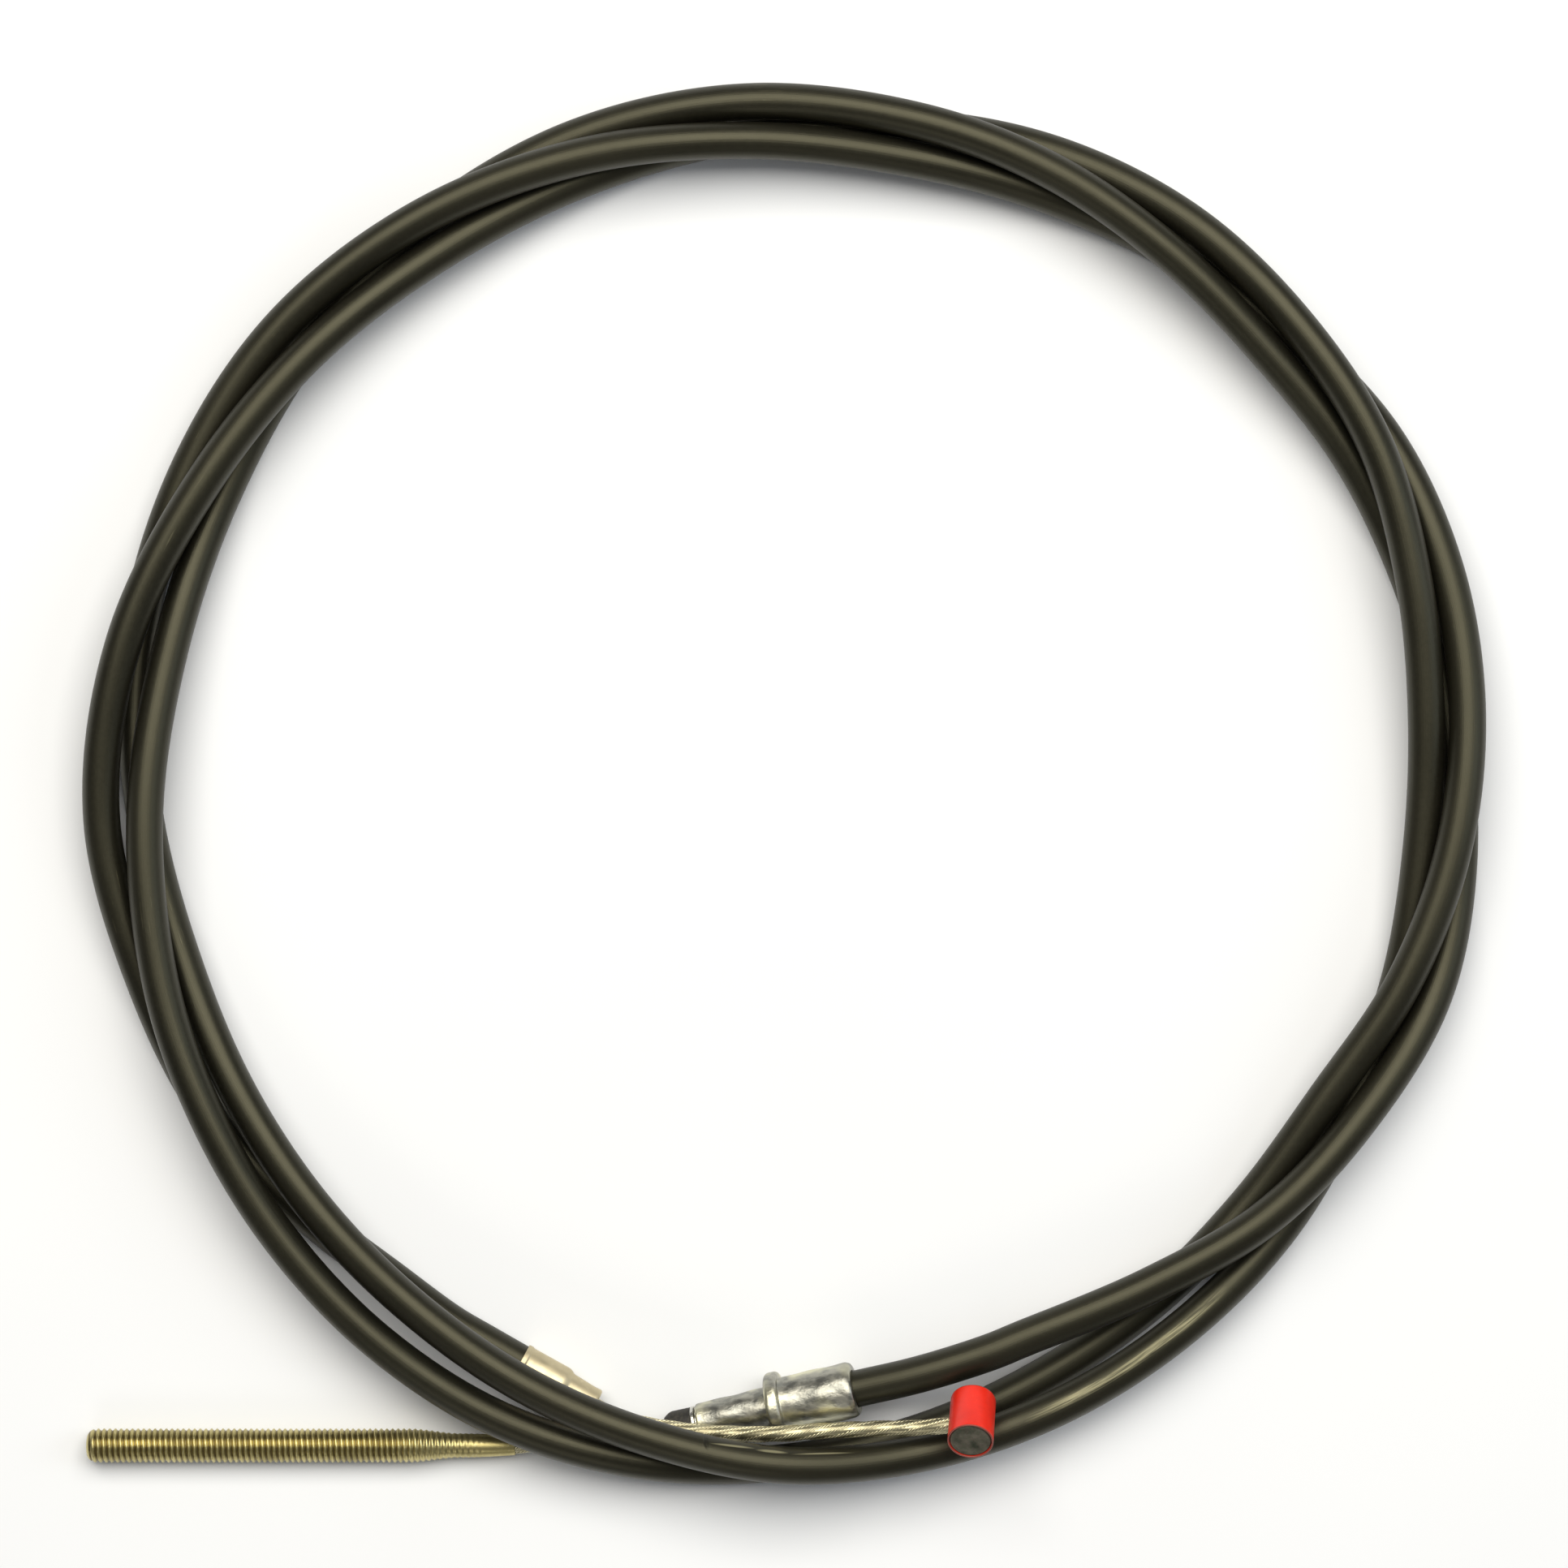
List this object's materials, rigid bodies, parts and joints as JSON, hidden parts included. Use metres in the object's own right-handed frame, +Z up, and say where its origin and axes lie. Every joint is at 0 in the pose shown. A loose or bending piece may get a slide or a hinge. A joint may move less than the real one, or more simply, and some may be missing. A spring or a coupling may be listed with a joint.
{
  "type": "control cable",
  "caption": "Bowden brake cable in a loose coil of almost three turns, with a barrel nipple at the lever end and a threaded rod at the brake end.",
  "frame": {"origin": "on the surface it lies on, at the middle of its bounding box", "axes": "+Z up from the table, +X along the threaded rod from its free end towards the coil, +Y across the coil away from the rod"},
  "size_m": [0.2463, 0.2461, 0.0234],
  "materials": {
    "jacket": "satin black extruded plastic",
    "conduit": "wound steel wire",
    "liner": "smooth white plastic",
    "wire": "galvanised stranded wire",
    "cap": "bright plated steel",
    "stop": "zinc plated, scuffed",
    "seal": "matt",
    "nipple_metal": "grey cast zinc with tool marks",
    "red_sleeve": "satin red plastic",
    "rod": "yellow passivated zinc"
  },
  "bodies": {
    "sheath": {"outer_jacket": "jacket", "steel_conduit": "conduit", "liner": "liner", "inner_wire": "wire", "lever_end_cap": "cap", "rod_end_stop": "stop", "guide_bush": "stop", "nose_seal": "seal"},
    "lever_end": {"nipple_core": "nipple_metal", "nipple_sleeve": "red_sleeve", "lever_wire_core": "wire", "lever_strand_1": "wire", "lever_strand_2": "wire", "lever_strand_3": "wire", "lever_strand_4": "wire", "lever_strand_5": "wire", "lever_strand_6": "wire"},
    "rod_end": {"threaded_rod": "rod", "rod_wire_core": "wire", "rod_strand_1": "wire", "rod_strand_2": "wire", "rod_strand_3": "wire", "rod_strand_4": "wire", "rod_strand_5": "wire", "rod_strand_6": "wire"}
  },
  "joints": [
    {"name": "lever_pull", "type": "slide", "parent": "sheath", "child": "lever_end", "axis": [0.972, 0.2244, 0.0698], "range_m": [-0.004, 0.014], "deforming": ["lever_wire_core", "lever_strand_1", "lever_strand_2", "lever_strand_3", "lever_strand_4", "lever_strand_5", "lever_strand_6"]},
    {"name": "rod_slide", "type": "slide", "parent": "sheath", "child": "rod_end", "axis": [1, 0, 0], "range_m": [-0.004, 0.014], "deforming": ["rod_wire_core", "rod_strand_1", "rod_strand_2", "rod_strand_3", "rod_strand_4", "rod_strand_5", "rod_strand_6"]}
  ],
  "couplings": [
    {"joint": "rod_slide", "follows": "lever_pull", "ratio": 1}
  ]
}
